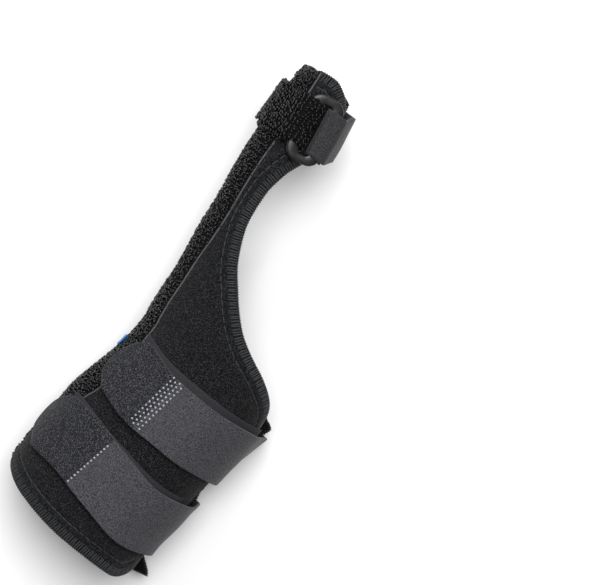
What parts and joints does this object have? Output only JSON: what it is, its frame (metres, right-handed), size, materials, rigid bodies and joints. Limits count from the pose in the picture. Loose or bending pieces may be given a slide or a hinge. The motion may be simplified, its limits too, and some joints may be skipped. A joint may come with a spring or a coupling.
{
  "type": "thumb spica splint",
  "caption": "Padded fabric splint for wrist and thumb, open at the hand, closed by two wrist straps and thumb straps joined by a ring.",
  "frame": {"origin": "middle of the outer box in X and Y, at the surface that it rests on", "axes": "+Z is the palm side, +Y runs from the forearm to the thumb's tip, -X is the thumb side"},
  "size_m": [0.0826, 0.201, 0.0463],
  "materials": {
    "smooth_fabric": "brushed knit over foam, matt black",
    "loop_fabric": "coarse unbrushed loop knit, matt black",
    "strap_webbing": "smooth brushed webbing, charcoal",
    "strap_backing": "thin smooth tape, dark grey",
    "loop_webbing": "coarse loop webbing, matt black",
    "label_cloth": "plain blue woven tape",
    "ring_plastic": "moulded nylon, satin black"
  },
  "bodies": {
    "root": {"palmar_panel": "smooth_fabric", "dorsal_panel": "loop_fabric", "upper_wrist_strap": "strap_webbing", "lower_wrist_strap": "strap_webbing", "upper_strap_backing": "strap_backing", "lower_strap_backing": "strap_backing", "thumb_strap": "loop_webbing", "ring_strap": "strap_webbing", "label_tab": "label_cloth", "thumb_ring": "ring_plastic"}
  },
  "joints": []
}
